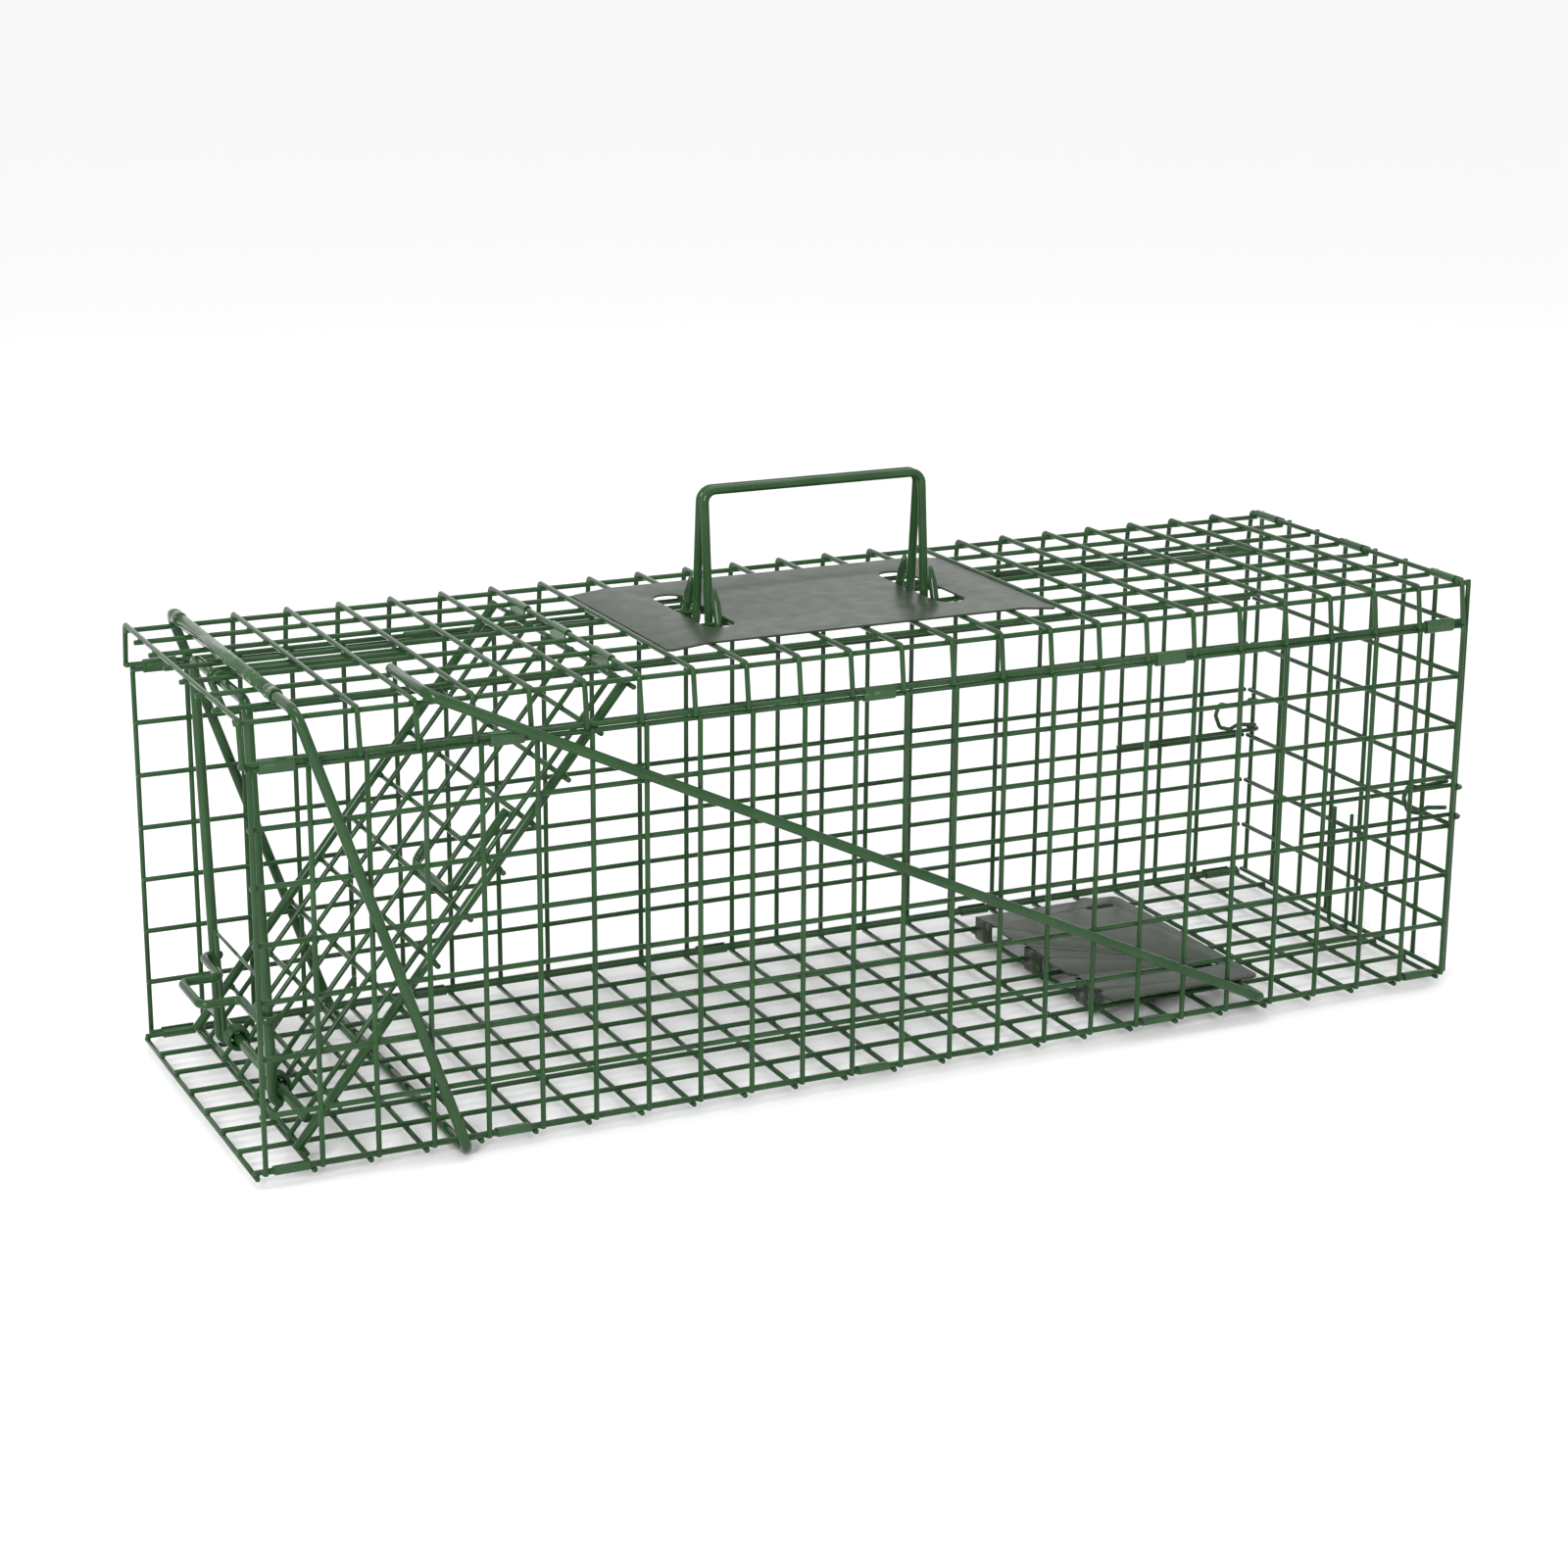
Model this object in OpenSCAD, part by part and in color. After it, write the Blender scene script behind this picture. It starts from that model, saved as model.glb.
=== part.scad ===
// Folding one-door live catch trap of welded wire mesh.
// X runs from the entrance to the rear door, Y across from the near side, Z up from the ground.

/* [Mesh] */
// spacing of the welded mesh, centre to centre
pitch = 25.4; // [24:0.1:27]
// thickness of the mesh wire
wire_d = 2.4; // [2.2:0.1:2.4]
// mesh cells along the cage
cells_long = 24; // [20:1:26]

/* [Rods] */
// thickness of the brace, lock frame and trigger rods
rod_d = 4.8; // [4:0.1:4.8]
// thickness of the two carrying handle rods
handle_d = 4.1; // [4:0.1:4.6]
// thickness of the door side rods
door_rod_d = 4.4; // [3.6:0.1:4.4]

/* [Sheet metal] */
// thickness of the treadle and the guard plate
sheet_t = 1.0; // [0.8:0.1:1.2]
// thickness of the folded clips
clip_t = 0.7; // [0.5:0.1:0.8]

/* [Hidden] */
$fn = 36;
green = [0.16, 0.30, 0.16];
sheet_green = [0.42, 0.47, 0.41];

wire_r = wire_d / 2;
rod_r = rod_d / 2;
weld = 0.2;                        // depth that welded wires sink into each other
layer = wire_d - weld;             // step between two welded layers of wire
cells_wide = 7;
cells_high = 7;                    // cells of a side panel, the folded flange adds one more
length = cells_long * pitch;
width = cells_wide * pitch;
mid_y = width / 2;
front_most = -3.5;                 // the lock frame's pull
rear_most = length + 8.9;          // the hooks of the rear latches
mid_x = (front_most + rear_most) / 2;

// levels of the four panels
floor_cross_z = 4.4;
floor_long_z = floor_cross_z + layer;
side_low_z = 7.2;
side_high_z = side_low_z + cells_high * pitch;
top_cross_z = 206.8;
top_long_z = top_cross_z - layer;
flange_low_z = side_high_z + 2.5;
side_out = 2.4;                    // side wires lie this far outside the floor's edge wire
upright_out = side_out + layer;

// corner of the folded top panel
fold_r = 1.9;
fold_y = -0.1;
top_edge_y = 1.5;                  // the top panel's edge wires lie this far in from the fold

// side panels
upright_x0 = 3;
upright_x1 = length + 0.6;
upright_step = (upright_x1 - upright_x0) / cells_long;

// clips: each grips two wires side by side
clip_gap = 0.08;
clip_len = 15.6;
hinge_clip_len = 19;
seam_cells_near = [0, 4, 11, 17, 23];
seam_cells_far = [0, 5, 11, 17, 23];
hinge_cells = [1, 3, 5];

// front door, drawn in its own plane: s runs down the door from the hinge, n stands off its front
door_x = 178.4;
door_z = 199.6;
door_a = 51.05;
door_step = 24.5;
door_rows = 10;
door_len = door_step * door_rows;
door_edge = 9.5;
door_rod_n = wire_r + door_rod_d / 2 + 0.03;
pivot_s = 233;
pivot_n = layer + wire_r + rod_r + 0.05;
door_hinge_cross = 7;

// spring coils on the foot rod
coil_len = 10.5;
coil_r = 5.8;
coil_bore = 3.4;
coil_from_mid = 36.6;
coil_leg_top = 74;

// lock frame
lock_x = 18;
lock_z = 200.65;
lock_half = 41.9;
lock_bend = 7;
lock_hook_r = 5.1;
pivot_x = door_x - pivot_s * cos(door_a) - pivot_n * sin(door_a);
pivot_z = door_z - pivot_s * sin(door_a) + pivot_n * cos(door_a);
lock_span = norm([pivot_x - lock_x, lock_z - pivot_z]);
lock_leg = sqrt(lock_span * lock_span - lock_hook_r * lock_hook_r);
lock_lean = atan2(pivot_x - lock_x, lock_z - pivot_z) - asin(lock_hook_r / lock_span);
lock_pull_z = 58;
lock_pull_d = 4;
lock_pull_front = -1.5;
lock_pull_half = 16;

// hanger of the lock frame
hanger_d = 2.4;
hanger_half = 2.9;
hanger_r = 3.68;

// brace hoop, drawn in its own leaning plane
brace_x = 93.5;
brace_z = rod_r;
brace_top_x = 22.5;
brace_top_z = 209.6;
brace_out = 8.6;
brace_bend = 8;
brace_lean = atan2(brace_x - brace_top_x, brace_top_z - brace_z);
brace_len = norm([brace_x - brace_top_x, brace_top_z - brace_z]);
sleeve_r = 3.0;
collar_r = 3.4;
brace_bore = rod_r + 0.05;
sleeve_y = [29, 166];
collar_len = 10;

// trigger rod
trigger_out = 8.6;
trigger_x0 = 80;
trigger_z0 = 210.4;
trigger_x1 = 503;
trigger_z1 = 10.9;
trigger_tip_y = 41;
trigger_foot_y = 58;
trigger_bend = 7;

// treadle
treadle_cross = 17;
treadle_x1 = 514;
treadle_z = 13.7;
treadle_y = [12, 148];
treadle_bore = wire_r + 0.08;
treadle_tab = 16;
treadle_notch = 3.2;
treadle_lug = [496, 4];
treadle_corner = 5;
treadle_slots = [[497, 36], [496.5, 135]];
slot_len = 16;
slot_w = 4.6;

// guard plate under the carrying handle
guard_x = [206, 403.6];
guard_y = [30.4, 147.4];
guard_ramp = 20;
guard_z = top_cross_z + wire_r + 0.1;
guard_drop = 1.8;
guard_slot_x = [243.6, 362.6];
guard_slot_w = 15.5;
guard_slot_len = 70;

// carrying handle, two rods that lean on each other
leg_x = [248.4, 360.5];
handle_hook_r = 5.6;
handle_top_z = 265;
handle_gap = 4.4;
handle_bend = 5.5;
return_lean = 18;
return_len = 16.3;

// rear door
rear_in_x = length + 3.2;
rear_out_x = rear_in_x + layer;
rear_top_z = 205.6;
rear_low_z = side_low_z;

// latches
latch_d = 2.2;
latch_y = 2.8;
latch_z = [87.3, 102.4];
latch_x0 = 528;
latch_bow_x = 598.5;
prong_x = 600;
prong_y = [62.5, 77.5];
prong_top = 72.5;
prong_leg_y = 55;
prong_leg_x0 = 554;

// straight rod between two points
module rod(a, b, d) {
  v = b - a;
  translate(a) rotate([0, acos(v[2] / norm(v)), atan2(v[1], v[0])]) cylinder(d = d, h = norm(v));
}

// part of a ring lying in XY, starting on the X axis
module bend(r, d, turn) {
  rotate_extrude(angle = turn) translate([r, 0]) circle(d = d);
}

// ring part in a plane of constant Y, measured from +X towards +Z
module bend_xz(c, r, d, from, turn) {
  translate(c) rotate([90, 0, 0]) rotate([0, 0, from]) bend(r, d, turn);
}

// ring part in a plane of constant X, measured from +Y towards +Z
module bend_yz(c, r, d, from, turn) {
  translate(c) rotate([90, 0, 90]) rotate([0, 0, from]) bend(r, d, turn);
}

// ring part in a plane of constant Z, measured from +X towards +Y
module bend_xy(c, r, d, from, turn) {
  translate(c) rotate([0, 0, from]) bend(r, d, turn);
}

// U of rod in XY: legs from y 0 up to y = leg, bar across at the far end
module u_bar(half, reach, r, d) {
  rod([-half + r, reach, 0], [half - r, reach, 0], d);
  bend_xy([half - r, reach - r, 0], r, d, 0, 90);
  bend_xy([-half + r, reach - r, 0], r, d, 90, 90);
}

// puts the middle of the part's footprint at the origin
module placed() {
  translate([-mid_x, -mid_y, 0]) children();
}

// the far side mirrors the near side
module far_side() {
  mirror([0, 1, 0]) children();
}

// folded clip round two wires whose centres are a and b in the YZ plane, running along X from x
module clip(x, a, b, len) {
  inner = wire_r + clip_gap;
  outer = inner + clip_t;
  v = b - a;
  translate([x, a[0], a[1]]) rotate([atan2(v[1], v[0]), 0, 0]) difference() {
    union() {
      rotate([0, 90, 0]) cylinder(r = outer, h = len);
      translate([0, norm(v), 0]) rotate([0, 90, 0]) cylinder(r = outer, h = len);
      translate([0, 0, -outer]) cube([len, norm(v), 2 * outer]);
    }
    translate([-1, 0, 0]) rotate([0, 90, 0]) cylinder(r = inner, h = len + 2);
    translate([-1, norm(v), 0]) rotate([0, 90, 0]) cylinder(r = inner, h = len + 2);
    translate([-1, 0, -inner]) cube([len + 2, norm(v), 2 * inner]);
  }
}

// clip whose wires run along Y, centres a and b in the XZ plane
module clip_across(y, a, b, len) {
  translate([0, y, 0]) mirror([1, -1, 0]) clip(0, a, b, len);
}

module floor_panel() {
  placed() color(green) union() {
    for (i = [0:cells_long])
      rod([i * pitch, -2.6, floor_cross_z], [i * pitch, width + 2.6, floor_cross_z], wire_d);
    for (j = [0:cells_wide])
      rod([-1, j * pitch, floor_long_z], [length + 1, j * pitch, floor_long_z], wire_d);
  }
}

module side_panel() {
  placed() color(green) union() {
    for (k = [0:cells_high])
      rod([upright_x0 - 1.2, -side_out, side_low_z + k * pitch],
        [upright_x1 + 1, -side_out, side_low_z + k * pitch], wire_d);
    for (i = [0:cells_long])
      rod([upright_x0 + i * upright_step, -upright_out, side_low_z - 0.8],
        [upright_x0 + i * upright_step, -upright_out, side_high_z + 0.8], wire_d);
  }
}

module side_panel_near() {
  side_panel();
}

module side_panel_far() {
  far_side() side_panel();
}

// the wire across the second row is left out, which makes the wide cell behind the entrance
module top_panel() {
  placed() color(green) union() {
    for (i = [0:cells_long]) if (i != 1) top_wire(i * pitch);
    for (j = [1:cells_wide - 1])
      rod([-3.2, j * pitch, top_long_z], [length + 1, j * pitch, top_long_z], wire_d);
    for (y = [top_edge_y, width - top_edge_y])
      rod([-1.2, y, top_long_z], [length + 1.2, y, top_long_z], wire_d);
  }
}

module top_wire(x) {
  rod([x, fold_y, top_cross_z], [x, width - fold_y, top_cross_z], wire_d);
  bend_yz([x, fold_y, top_cross_z - fold_r], fold_r, wire_d, 90, 90);
  bend_yz([x, width - fold_y, top_cross_z - fold_r], fold_r, wire_d, 0, 90);
}

module top_flange() {
  placed() color(green) union() {
    for (i = [0:cells_long]) if (i != 1)
      rod([i * pitch, fold_y - fold_r, top_cross_z - fold_r - 0.25],
        [i * pitch, -upright_out - 0.2, flange_low_z - 1.2], wire_d);
    rod([-1, -side_out, flange_low_z], [length + 1, -side_out, flange_low_z], wire_d);
  }
}

module top_flange_near() {
  top_flange();
}

module top_flange_far() {
  far_side() top_flange();
}

// clips of one long seam, each in the clear stretch between two uprights
module seam_clips(a, b, cells) {
  placed() color(green) for (k = cells)
    clip(upright_x0 + k * upright_step + 4.4, a, b, clip_len);
}

module seam_clips_top(cells) {
  seam_clips([-side_out, flange_low_z], [-side_out, side_high_z], cells);
}

module seam_clips_floor(cells) {
  seam_clips([0, floor_long_z], [-side_out, side_low_z], cells);
}

module seam_clips_top_near() {
  seam_clips_top(seam_cells_near);
}

module seam_clips_top_far() {
  far_side() seam_clips_top(seam_cells_far);
}

module seam_clips_floor_near() {
  seam_clips_floor(seam_cells_near);
}

module seam_clips_floor_far() {
  far_side() seam_clips_floor(seam_cells_far);
}

module door_hinge_clips() {
  placed() color(green) for (j = hinge_cells)
    clip_across((j + 0.5) * pitch - hinge_clip_len / 2,
      [door_hinge_cross * pitch, top_cross_z], [door_x, door_z], hinge_clip_len);
}

module rear_hinge_clips() {
  placed() color(green) for (j = [0, 3, 6])
    clip_across((j + 0.5) * pitch - hinge_clip_len / 2,
      [length, top_cross_z], [rear_in_x, rear_top_z], hinge_clip_len);
}

module guard_plate() {
  low = guard_z - guard_drop;
  placed() color(sheet_green) difference() {
    translate([0, guard_y[1], 0]) rotate([90, 0, 0]) linear_extrude(guard_y[1] - guard_y[0])
      polygon([[guard_x[0], low], [guard_x[0] + guard_ramp, guard_z],
        [guard_x[1] - guard_ramp, guard_z], [guard_x[1], low], [guard_x[1], low + sheet_t],
        [guard_x[1] - guard_ramp, guard_z + sheet_t], [guard_x[0] + guard_ramp, guard_z + sheet_t],
        [guard_x[0], low + sheet_t]]);
    for (x = guard_slot_x) translate([x, mid_y, guard_z - 5]) slot(guard_slot_w, guard_slot_len, 10);
  }
}

// round-ended slot along Y
module slot(w, len, h) {
  straight = len - w;
  translate([0, -straight / 2, 0]) cylinder(d = w, h = h);
  translate([0, straight / 2, 0]) cylinder(d = w, h = h);
  translate([-w / 2, -straight / 2, 0]) cube([w, straight, h]);
}

// two wires under the top mesh, bent down at the front to hook the lock frame's bar
module lock_hanger() {
  turn = 115;
  out = 90 + turn;
  tail = 12;
  placed() color(green) for (side = [-1, 1]) translate([lock_x, mid_y + side * hanger_half, lock_z]) {
    rod([0, 0, hanger_r], [4 * pitch + 3 - lock_x, 0, hanger_r], hanger_d);
    bend_xz([0, 0, 0], hanger_r, hanger_d, 90, turn);
    rotate([0, -out, 0]) rod([hanger_r, 0, 0], [hanger_r, 0, tail], hanger_d);
  }
}

// wire stop that stands on the floor inside the rear door
module floor_prongs() {
  r = 3;
  z = floor_long_z + wire_r + latch_d / 2 + 0.03;
  placed() color(green) union() {
    rod([prong_leg_x0, prong_leg_y, z], [prong_x - r, prong_leg_y, z], latch_d);
    bend_xy([prong_x - r, prong_leg_y + r, z], r, latch_d, -90, 90);
    rod([prong_x, prong_leg_y + r, z], [prong_x, prong_y[1] - r, z], latch_d);
    bend_yz([prong_x, prong_y[1] - r, z + r], r, latch_d, -90, 90);
    rod([prong_x, prong_y[1], z + r], [prong_x, prong_y[1], prong_top], latch_d);
    rod([prong_x, prong_y[0], z], [prong_x, prong_y[0], prong_top], latch_d - 0.2);
  }
}

// places children in the door's plane: X down the door, Y across, Z off its front face
module on_door() {
  translate([door_x, 0, door_z]) rotate([0, 180 - door_a, 0]) mirror([0, 0, 1]) children();
}

module door_mesh() {
  placed() color(green) on_door() union() {
    for (k = [0:door_rows]) rod([k * door_step, door_edge - 4.6, 0],
      [k * door_step, width - door_edge + 4.6, 0], wire_d);
    for (j = [1:cells_wide - 1])
      rod([-0.9, j * pitch, layer], [door_len + 1, j * pitch, layer], wire_d);
  }
}

module door_rod_near() {
  placed() color(green) on_door()
    rod([-1, door_edge, door_rod_n], [door_len + 1.6, door_edge, door_rod_n], door_rod_d);
}

module door_rod_far() {
  far_side() door_rod_near();
}

module door_foot_rod() {
  inset = door_edge + 3.6;
  placed() color(green) on_door() rod([pivot_s, inset, pivot_n], [pivot_s, width - inset, pivot_n], rod_d);
}

// bowed wire on the door that the trigger rod's hook catches when the trap is set
module door_catch_loop() {
  d = 4;
  n = layer + wire_r + d / 2 + 0.03;
  r = 5;
  y0 = 27.4;
  y1 = 73.4;
  s1 = 119;
  placed() color(green) on_door() union() {
    rod([75, y0, n], [s1 - r, y0, n], d);
    bend_xy([s1 - r, y0 + r, n], r, d, -90, 90);
    rod([s1, y0 + r, n], [s1, y1 - r, n], d);
    bend_xy([s1 - r, y1 - r, n], r, d, 0, 90);
    rod([s1 - r, y1, n], [106, y1, n], d);
  }
}

// torsion spring on the foot rod: coil, leg along the lock frame, leg along the door
module spring() {
  inset = wire_r + 0.15;
  y0 = mid_y - coil_from_mid;
  leg_n = 2 * wire_r + 0.05;
  leg_x = pivot_x - 6.6;
  bar_d = 1.6;
  placed() color(green) {
    difference() {
      translate([pivot_x, y0, pivot_z]) rotate([-90, 0, 0]) cylinder(r = coil_r, h = coil_len);
      translate([pivot_x, y0 - 1, pivot_z]) rotate([-90, 0, 0]) cylinder(r = coil_bore, h = coil_len + 2);
    }
    rod([pivot_x - coil_r + inset, y0 + inset, pivot_z], [leg_x, y0 + inset, coil_leg_top], wire_d);
    rod([leg_x, y0 + inset, coil_leg_top - wire_d], [leg_x, mid_y, coil_leg_top - wire_d], bar_d);
    on_door() translate([0, y0 + coil_len - inset, leg_n])
      rod([pivot_s - 3.6, 0, 0], [175, 0, 0], wire_d);
  }
}

module spring_near() {
  spring();
}

module spring_far() {
  far_side() spring();
}

// places children in the lock frame's plane: Y across from the middle, Z up the legs
module on_lock() {
  translate([lock_x, mid_y, lock_z]) rotate([0, -lock_lean, 0]) children();
}

module lock_frame_bar() {
  placed() color(green) on_lock() rotate([0, 0, 90]) rotate([90, 0, 0])
    u_bar(lock_half, 0, lock_bend, rod_d);
}

module lock_frame_legs() {
  placed() color(green) on_lock() for (side = [-1, 1]) {
    rod([0, side * lock_half, -lock_bend], [0, side * lock_half, -lock_leg], rod_d);
    bend_xz([lock_hook_r, side * lock_half, -lock_leg], lock_hook_r, rod_d, 180, 80);
  }
}

// bowed finger pull across the lock frame
module lock_pull() {
  r = 4;
  leg_x = lock_x + tan(lock_lean) * (lock_z - lock_pull_z);
  x1 = leg_x - rod_r - lock_pull_d / 2 - 0.03;
  x0 = lock_pull_front;
  h = lock_pull_half;
  end = lock_half + 3;
  placed() color(green) translate([0, mid_y, lock_pull_z]) union() {
    rod([x0, -h + r, 0], [x0, h - r, 0], lock_pull_d);
    for (side = [0, 1]) mirror([0, side, 0]) {
      bend_xy([x0 + r, h - r, 0], r, lock_pull_d, 90, 90);
      rod([x0 + r, h, 0], [x1 - r, h, 0], lock_pull_d);
      bend_xy([x1 - r, h + r, 0], r, lock_pull_d, -90, 90);
      rod([x1, h + r, 0], [x1, end, 0], lock_pull_d);
    }
  }
}

// places children in the brace's plane: X across from the middle, Y up the arms
module on_brace() {
  translate([brace_x, mid_y, brace_z]) rotate([0, -brace_lean, 0])
    rotate([0, 0, 90]) rotate([90, 0, 0]) children();
}

brace_half = mid_y + brace_out;

module brace_top_bar() {
  placed() color(green) on_brace() u_bar(brace_half, brace_len, brace_bend, rod_d);
}

module brace_arms() {
  placed() color(green) on_brace() for (side = [-1, 1])
    rod([side * brace_half, brace_bend, 0], [side * brace_half, brace_len - brace_bend, 0], rod_d);
}

module brace_foot_bar() {
  placed() color(green) on_brace() mirror([0, 1, 0]) u_bar(brace_half, 0, brace_bend, rod_d);
}

module brace_tube(y0, y1, r) {
  placed() color(green) translate([brace_top_x, y0, brace_top_z]) rotate([-90, 0, 0]) difference() {
    cylinder(r = r, h = y1 - y0);
    translate([0, 0, -1]) cylinder(r = brace_bore, h = y1 - y0 + 2);
  }
}

module brace_sleeve() {
  brace_tube(sleeve_y[0], sleeve_y[1], sleeve_r);
}

module brace_collars() {
  brace_tube(sleeve_y[0] - collar_len - 0.2, sleeve_y[0] - 0.2, collar_r);
  brace_tube(sleeve_y[1] + 0.2, sleeve_y[1] + collar_len + 0.2, collar_r);
}

// hook over the top, long slant down the near side, foot turned in under the treadle
module trigger_rod() {
  r = trigger_bend;
  tilt = atan2(trigger_z0 - trigger_z1, trigger_x1 - trigger_x0);
  slant = norm([trigger_x1 - trigger_x0, trigger_z1 - trigger_z0]);
  placed() color(green) translate([trigger_x0, -trigger_out, trigger_z0]) rotate([0, tilt, 0]) union() {
    rod([0, trigger_tip_y + trigger_out, 0], [0, r, 0], rod_d);
    bend_xy([r, r, 0], r, rod_d, 180, 90);
    rod([r, 0, 0], [slant - r, 0, 0], rod_d);
    bend_xy([slant - r, r, 0], r, rod_d, -90, 90);
    rod([slant, r, 0], [slant, trigger_foot_y + trigger_out, 0], rod_d);
  }
}

// flat plate with two slots, hung on a floor wire by three curled tabs with relief notches
module treadle() {
  wire_x = treadle_cross * pitch;
  tab_out = treadle_bore + sheet_t;
  x0 = wire_x - tab_out;
  c = treadle_corner;
  y0 = treadle_y[0];
  y1 = treadle_y[1];
  placed() color(sheet_green) union() {
    difference() {
      translate([0, 0, treadle_z]) linear_extrude(sheet_t) union() {
        translate([x0, y0]) square([treadle_x1 - c - x0, y1 - y0]);
        translate([x0, y0 + c]) square([treadle_x1 - x0, y1 - y0 - 2 * c]);
        translate([treadle_x1 - c, y0 + c]) circle(r = c);
        translate([treadle_x1 - c, y1 - c]) circle(r = c);
        translate([treadle_lug[0], y1]) circle(r = treadle_lug[1]);
      }
      for (j = [1, 3, 5]) for (side = [-1, 1])
        translate([x0, (j + 0.5) * pitch + side * (treadle_tab / 2 + 3.4), treadle_z - 1])
          cylinder(r = treadle_notch, h = sheet_t + 2);
      for (p = treadle_slots) translate([p[0], p[1], treadle_z - 1]) rotate([0, 0, 90])
        slot(slot_w, slot_len, sheet_t + 2);
    }
    for (j = [1, 3, 5]) translate([wire_x, (j + 0.5) * pitch - treadle_tab / 2, floor_cross_z]) {
      translate([-tab_out, 0, 0]) cube([sheet_t, treadle_tab, treadle_z + 0.5 - floor_cross_z]);
      rotate([-90, 0, 0]) difference() {
        cylinder(r = tab_out, h = treadle_tab);
        translate([0, 0, -1]) cylinder(r = treadle_bore, h = treadle_tab + 2);
        translate([-tab_out - 1, -tab_out - 1, -1]) cube([2 * tab_out + 2, tab_out + 1, treadle_tab + 2]);
      }
    }
  }
}

// each handle rod hooks under its wire, then leans from there up to the top bar
handle_pivot_y = 3 * pitch;
handle_reach = [mid_y - handle_gap / 2 - handle_pivot_y, handle_top_z - top_long_z];
handle_lean = atan2(handle_reach[0], handle_reach[1]) - asin(handle_hook_r / norm(handle_reach));
handle_len = sqrt(pow(norm(handle_reach), 2) - handle_hook_r * handle_hook_r);
handle_foot_y = handle_pivot_y + handle_hook_r * cos(handle_lean);
handle_foot_z = top_long_z - handle_hook_r * sin(handle_lean);

module handle_grip() {
  half = (leg_x[1] - leg_x[0]) / 2;
  placed() color(green) translate([leg_x[0] + half, handle_foot_y, handle_foot_z])
    rotate([90 - handle_lean, 0, 0]) u_bar(half, handle_len, handle_bend, handle_d);
}

module handle_legs() {
  r = handle_hook_r;
  turn = 180 + return_lean - handle_lean;
  placed() color(green) for (x = leg_x)
    translate([x, handle_pivot_y, top_long_z]) rotate([90, 0, 90])
      rotate([0, 0, 180 - return_lean]) union() {
        bend(r, handle_d, turn);
        rod([r, 0, 0], [r, -return_len, 0], handle_d);
        rotate([0, 0, turn]) rod([r, 0, 0], [r, handle_len - handle_bend, 0], handle_d);
      }
}

module handle_near_grip() {
  handle_grip();
}

module handle_near_legs() {
  handle_legs();
}

module handle_far_grip() {
  far_side() handle_grip();
}

module handle_far_legs() {
  far_side() handle_legs();
}

module rear_door_mesh() {
  placed() color(green) union() {
    for (j = [0:cells_wide])
      rod([rear_out_x, j * pitch, rear_low_z - 1.4], [rear_out_x, j * pitch, rear_top_z + 1.4], wire_d);
    for (z = concat([for (k = [0:cells_high]) rear_low_z + k * pitch], [rear_top_z]))
      rod([rear_in_x, -1.4, z], [rear_in_x, width + 1.4, z], wire_d);
  }
}

// wire latch: two legs along the side joined by a bow, each hooked round the door's edge wire
module rear_latch() {
  hook_x = rear_out_x - 0.4;
  bow_r = (latch_z[1] - latch_z[0]) / 2;
  placed() color(green) union() {
    for (z = latch_z) {
      rod([latch_x0, latch_y, z], [hook_x, latch_y, z], latch_d);
      bend_xy([hook_x, 0, z], latch_y, latch_d, -90, 180);
      rod([hook_x, -latch_y, z], [hook_x - 1.1, -latch_y, z], latch_d);
    }
    bend_xz([latch_bow_x, latch_y + latch_d - weld, latch_z[0] + bow_r], bow_r, latch_d, 90, 180);
  }
}

module rear_latch_near() {
  rear_latch();
}

module rear_latch_far() {
  far_side() rear_latch();
}

floor_panel();
side_panel_near();
side_panel_far();
top_panel();
top_flange_near();
top_flange_far();
seam_clips_top_near();
seam_clips_top_far();
seam_clips_floor_near();
seam_clips_floor_far();
door_hinge_clips();
rear_hinge_clips();
guard_plate();
lock_hanger();
floor_prongs();
door_mesh();
door_rod_near();
door_rod_far();
door_foot_rod();
door_catch_loop();
spring_near();
spring_far();
lock_frame_bar();
lock_frame_legs();
lock_pull();
brace_top_bar();
brace_arms();
brace_foot_bar();
brace_sleeve();
brace_collars();
trigger_rod();
treadle();
handle_near_grip();
handle_near_legs();
handle_far_grip();
handle_far_legs();
rear_door_mesh();
rear_latch_near();
rear_latch_far();
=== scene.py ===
"""Looks of the live catch trap: every wire, rod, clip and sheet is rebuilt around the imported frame."""

import math
import random

import bmesh
import bpy
from mathutils import Matrix, Vector


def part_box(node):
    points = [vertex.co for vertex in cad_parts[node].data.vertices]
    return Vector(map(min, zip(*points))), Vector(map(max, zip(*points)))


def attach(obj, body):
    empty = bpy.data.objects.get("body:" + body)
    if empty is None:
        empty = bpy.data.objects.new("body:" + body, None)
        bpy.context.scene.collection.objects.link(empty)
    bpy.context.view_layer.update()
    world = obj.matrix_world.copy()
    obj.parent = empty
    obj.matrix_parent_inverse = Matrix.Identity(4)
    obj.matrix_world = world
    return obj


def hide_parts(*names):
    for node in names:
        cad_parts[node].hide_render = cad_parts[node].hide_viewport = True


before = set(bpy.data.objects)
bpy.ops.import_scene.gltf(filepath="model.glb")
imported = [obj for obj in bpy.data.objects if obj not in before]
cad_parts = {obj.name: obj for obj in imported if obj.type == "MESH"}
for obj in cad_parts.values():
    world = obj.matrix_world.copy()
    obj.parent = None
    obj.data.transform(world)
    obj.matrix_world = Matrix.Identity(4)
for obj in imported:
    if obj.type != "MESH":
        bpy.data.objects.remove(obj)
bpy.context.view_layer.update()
draw = random.Random(7)

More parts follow.
